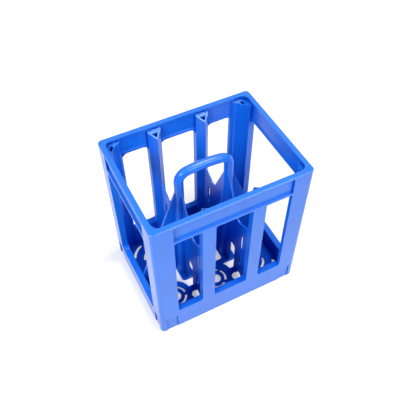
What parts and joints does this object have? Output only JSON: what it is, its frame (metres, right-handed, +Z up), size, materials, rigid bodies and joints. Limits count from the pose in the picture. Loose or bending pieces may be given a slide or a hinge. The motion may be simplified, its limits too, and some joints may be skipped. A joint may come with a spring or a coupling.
{
  "type": "bottle crate",
  "caption": "Upright rectangular plastic crate with window openings, dividing webs between bottle pockets and a moulded handle over the middle.",
  "frame": {"origin": "middle of the underside", "axes": "X along the long sides, Y along the short sides, Z up"},
  "size_m": [0.264, 0.2, 0.288],
  "materials": {
    "body": "satin blue moulded polyethylene"
  },
  "bodies": {
    "root": {"crate": "body"}
  },
  "joints": []
}
